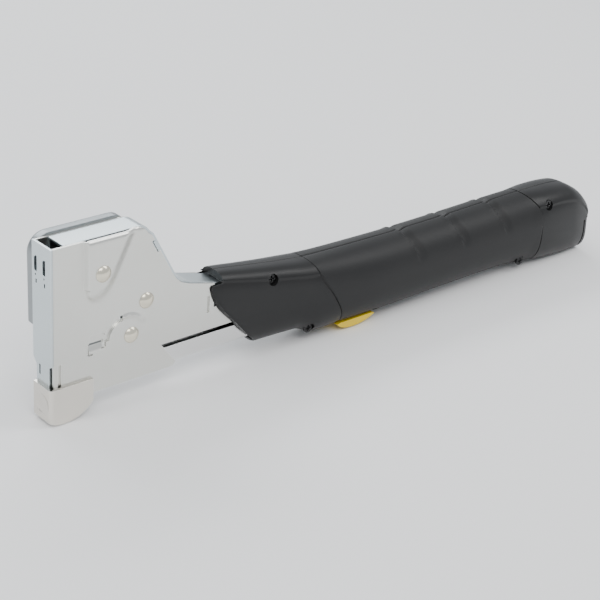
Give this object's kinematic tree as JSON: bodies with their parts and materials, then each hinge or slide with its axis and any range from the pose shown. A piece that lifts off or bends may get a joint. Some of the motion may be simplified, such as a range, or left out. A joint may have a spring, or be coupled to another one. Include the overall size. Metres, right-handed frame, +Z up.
{
  "type": "hammer tacker",
  "caption": "Hammer tacker with a sheet steel head, spring-loaded swinging nose and magazine, pull-out staple drawer and two-part grip handle.",
  "frame": {"origin": "on the centre plane, directly below the outer face of the front plate, in the plane that the tool stands on", "axes": "+X runs from the nose along the handle to the butt, +Y to the tool's right side, +Z up from the plane it stands on"},
  "size_m": [0.3565, 0.033, 0.0859],
  "materials": {
    "handle_plastic": "fine moulded satin black plastic",
    "grip_rubber": "matt black overmoulded rubber",
    "screw_black": "black oxide",
    "zinc_sheet": "bright blue zinc plating on pressed sheet",
    "dark_steel": "phosphated cast steel",
    "blade_steel": "hardened ground steel",
    "pin_steel": "turned bright steel",
    "chrome_plate": "chrome on pressed sheet, slightly brushed",
    "channel_chrome": "polished chrome",
    "cover_paint": "grey satin coating",
    "nickel_shoe": "nickel plating, polished",
    "guide_nylon": "dark grey nylon",
    "rivet_nickel": "domed nickel-plated rivet",
    "spring_steel": "oil-tempered brown spring wire",
    "latch_plastic": "yellow moulded plastic",
    "staple_wire": "galvanised staple wire",
    "rail_steel": "zinc-plated folded rail",
    "cap_plastic": "black moulded plastic",
    "pusher_plastic": "black acetal"
  },
  "bodies": {
    "striker": {"handle_left": "handle_plastic", "handle_right": "handle_plastic", "grip_left": "grip_rubber", "grip_right": "grip_rubber", "handle_screws": "screw_black", "striker_frame": "zinc_sheet", "driver_block": "dark_steel", "driver_blade": "blade_steel", "block_pins": "pin_steel", "blade_rivets": "pin_steel", "pivot_bracket": "zinc_sheet"},
    "nose": {"left_side_plate": "chrome_plate", "right_side_plate": "chrome_plate", "side_cover": "cover_paint", "front_plate": "zinc_sheet", "nose_shoe": "nickel_shoe", "nose_block": "dark_steel", "guide_pads": "guide_nylon", "body_rivets": "rivet_nickel", "rivet_spacers": "pin_steel", "spring_bush": "guide_nylon", "return_spring": "spring_steel", "magazine_channel": "channel_chrome", "channel_rivets": "rivet_nickel", "hinge_studs": "pin_steel", "latch_bracket": "zinc_sheet", "latch_pin": "pin_steel", "latch_spring": "spring_steel", "staple_strip": "staple_wire"},
    "latch": {"latch": "latch_plastic"},
    "drawer": {"core_rail": "rail_steel", "guide_rod": "pin_steel", "pusher_spring": "spring_steel", "end_cap": "cap_plastic"},
    "pusher": {"pusher": "pusher_plastic"}
  },
  "joints": [
    {"name": "nose_swing", "type": "hinge", "parent": "striker", "child": "nose", "pos_m": [0.322, 0, 0.0165], "axis": [0, 1, 0], "range_deg": [0, 2.4], "stiffness_Nm_per_rad": 60, "springref_deg": -5.73, "deforming": ["return_spring"]},
    {"name": "drawer_slide", "type": "slide", "parent": "nose", "child": "drawer", "axis": [1, 0, 0], "range_m": [0, 0.12]},
    {"name": "pusher_slide", "type": "slide", "parent": "drawer", "child": "pusher", "axis": [1, 0, 0], "range_m": [0, 0.06], "stiffness_N_per_m": 30, "springref_m": -0.1, "deforming": ["pusher_spring"]},
    {"name": "latch_rock", "type": "hinge", "parent": "nose", "child": "latch", "pos_m": [0.1809, 0, 0.0078], "axis": [0, -1, 0], "range_deg": [0, 10], "stiffness_Nm_per_rad": 0.4, "springref_deg": -11.46, "deforming": ["latch_spring"]}
  ]
}
